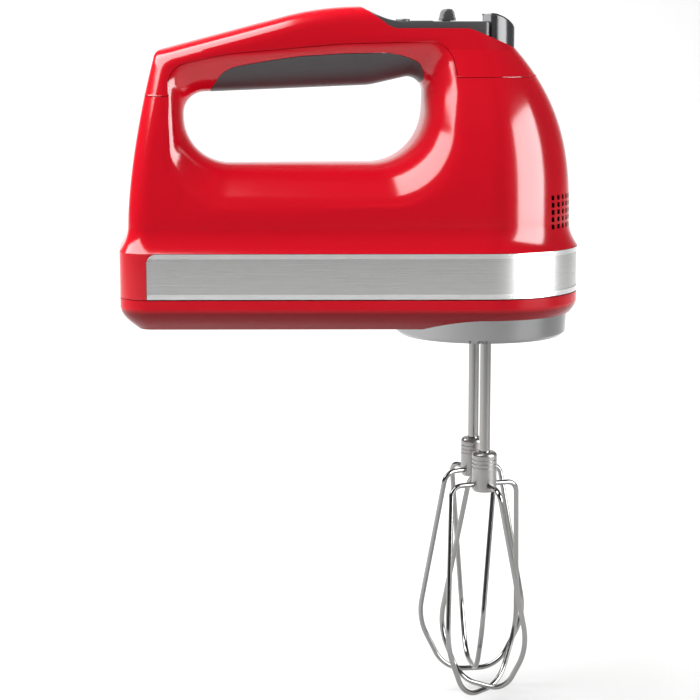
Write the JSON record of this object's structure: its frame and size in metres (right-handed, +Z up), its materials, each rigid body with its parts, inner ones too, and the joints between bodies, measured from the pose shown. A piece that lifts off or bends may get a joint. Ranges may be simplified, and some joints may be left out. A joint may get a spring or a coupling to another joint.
{
  "type": "hand mixer",
  "caption": "Corded hand mixer: flared housing with a hand opening, soft grip, sliding switch, ejector, worm-drive motor and twisted wire beaters",
  "frame": {"origin": "centre of the hand grip, on the mid-plane", "axes": "+X to the nose, +Z up with the beaters hanging down, +Y to the left of someone looking along +X"},
  "size_m": [0.2009, 0.0848, 0.3044],
  "materials": {
    "shell_red": "gloss",
    "pan_red": "satin",
    "grip_rubber": "soft matte",
    "dark_plastic": "satin",
    "display_glass": "clear",
    "button_plastic": "satin",
    "band_steel": "brushed",
    "ring_chrome": "polished",
    "beater_steel": "polished",
    "screw_steel": "plated",
    "shaft_steel": "ground",
    "core_steel": "laminated",
    "copper": "enamelled wire",
    "bearing_bronze": "sintered",
    "gear_nylon": "natural",
    "frame_plastic": "matte",
    "board": "board",
    "carbon": "pressed",
    "spring_steel": "drawn"
  },
  "bodies": {
    "body": {"main_housing": "shell_red", "top_cover": "shell_red", "soft_grip": "grip_rubber", "bottom_pan": "pan_red", "pan_screws": "screw_steel", "trim_band": "band_steel", "nose_ring": "ring_chrome", "port_bushes": "dark_plastic", "control_panel": "dark_plastic", "display_window": "display_glass", "gearbox_base": "frame_plastic", "gearbox_cover": "frame_plastic", "gearbox_screws": "screw_steel", "spindle_bushes": "bearing_bronze", "motor_bearings": "bearing_bronze", "rear_bracket": "frame_plastic", "brush_holders": "frame_plastic", "carbon_brushes": "carbon", "stator_core": "core_steel", "field_coils": "copper", "circuit_board": "board", "switch_body": "frame_plastic", "terminal_block": "frame_plastic", "cord_inlet": "dark_plastic", "ejector_spring": "spring_steel"},
    "motor": {"worm_shaft": "shaft_steel", "armature_core": "core_steel", "armature_windings": "copper", "commutator": "copper", "cooling_fan": "frame_plastic"},
    "spindle_left": {"spindle_left": "shaft_steel", "drive_gear_left": "gear_nylon"},
    "spindle_right": {"spindle_right": "shaft_steel", "drive_gear_right": "gear_nylon"},
    "beater_left": {"beater_left_shank": "beater_steel", "beater_left_collar": "beater_steel", "beater_left_loops": "beater_steel"},
    "beater_right": {"beater_right_shank": "beater_steel", "beater_right_collar": "beater_steel", "beater_right_loops": "beater_steel"},
    "ejector": {"ejector_button": "dark_plastic", "ejector_yoke": "frame_plastic"},
    "power_switch": {"power_switch_knob": "button_plastic"},
    "speed_up": {"speed_up_button": "button_plastic"},
    "speed_down": {"speed_down_button": "button_plastic"}
  },
  "joints": [
    {"name": "motor_spin", "type": "hinge", "parent": "body", "child": "motor", "pos_m": [0.073, 0, -0.084], "axis": [1, 0, 0], "continuous": true},
    {"name": "spindle_left_spin", "type": "hinge", "parent": "body", "child": "spindle_left", "pos_m": [0.073, 0.016, -0.118], "axis": [0, 0, 1], "continuous": true},
    {"name": "spindle_right_spin", "type": "hinge", "parent": "body", "child": "spindle_right", "pos_m": [0.073, -0.016, -0.118], "axis": [0, 0, 1], "continuous": true},
    {"name": "ejector_press", "type": "slide", "parent": "body", "child": "ejector", "axis": [0, 0, -1], "range_m": [0, 0.006], "stiffness_N_per_m": 900, "springref_m": -0.005, "deforming": ["ejector_spring"]},
    {"name": "beater_left_eject", "type": "slide", "parent": "spindle_left", "child": "beater_left", "axis": [0, 0, -1], "range_m": [0, 0.006]},
    {"name": "beater_right_eject", "type": "slide", "parent": "spindle_right", "child": "beater_right", "axis": [0, 0, -1], "range_m": [0, 0.006]},
    {"name": "power_switch_slide", "type": "slide", "parent": "body", "child": "power_switch", "axis": [1, 0, 0], "range_m": [0, 0.006]},
    {"name": "speed_up_press", "type": "slide", "parent": "body", "child": "speed_up", "axis": [0, 0, -1], "range_m": [0, 0.0006], "stiffness_N_per_m": 800, "springref_m": -0.0005},
    {"name": "speed_down_press", "type": "slide", "parent": "body", "child": "speed_down", "axis": [0, 0, -1], "range_m": [0, 0.0006], "stiffness_N_per_m": 800, "springref_m": -0.0005}
  ],
  "couplings": [
    {"joint": "spindle_left_spin", "follows": "motor_spin", "ratio": -0.083333},
    {"joint": "spindle_right_spin", "follows": "motor_spin", "ratio": 0.083333},
    {"joint": "beater_left_eject", "follows": "ejector_press", "ratio": 1},
    {"joint": "beater_right_eject", "follows": "ejector_press", "ratio": 1}
  ]
}
